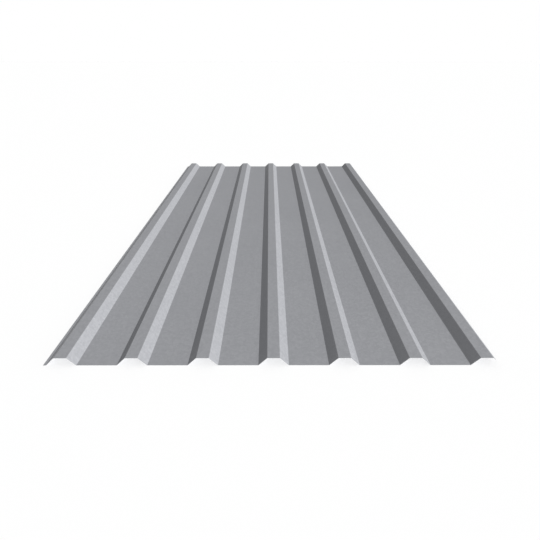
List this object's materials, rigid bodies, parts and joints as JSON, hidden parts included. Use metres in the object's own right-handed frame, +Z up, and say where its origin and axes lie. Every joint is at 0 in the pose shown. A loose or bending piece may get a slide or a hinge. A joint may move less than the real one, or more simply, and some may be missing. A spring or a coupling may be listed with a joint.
{
  "type": "corrugated metal sheet",
  "caption": "Long roll-formed steel roofing and cladding sheet with a trapezoidal section, flat pans between its ribs and a slanted lap edge.",
  "frame": {"origin": "on the floor under the middle of the sheet, in the plane that the undersides of its pans rest on", "axes": "+Y along the ribs, +X across them from the flat foot lip to the slanted lap lip, +Z up through the sheet to the tops of its ribs"},
  "size_m": [1.1702, 2.4, 0.0225],
  "materials": {
    "coated_steel": "galvanised, passivated to a satin grey"
  },
  "bodies": {
    "root": {"corrugated_sheet": "coated_steel"}
  },
  "joints": []
}
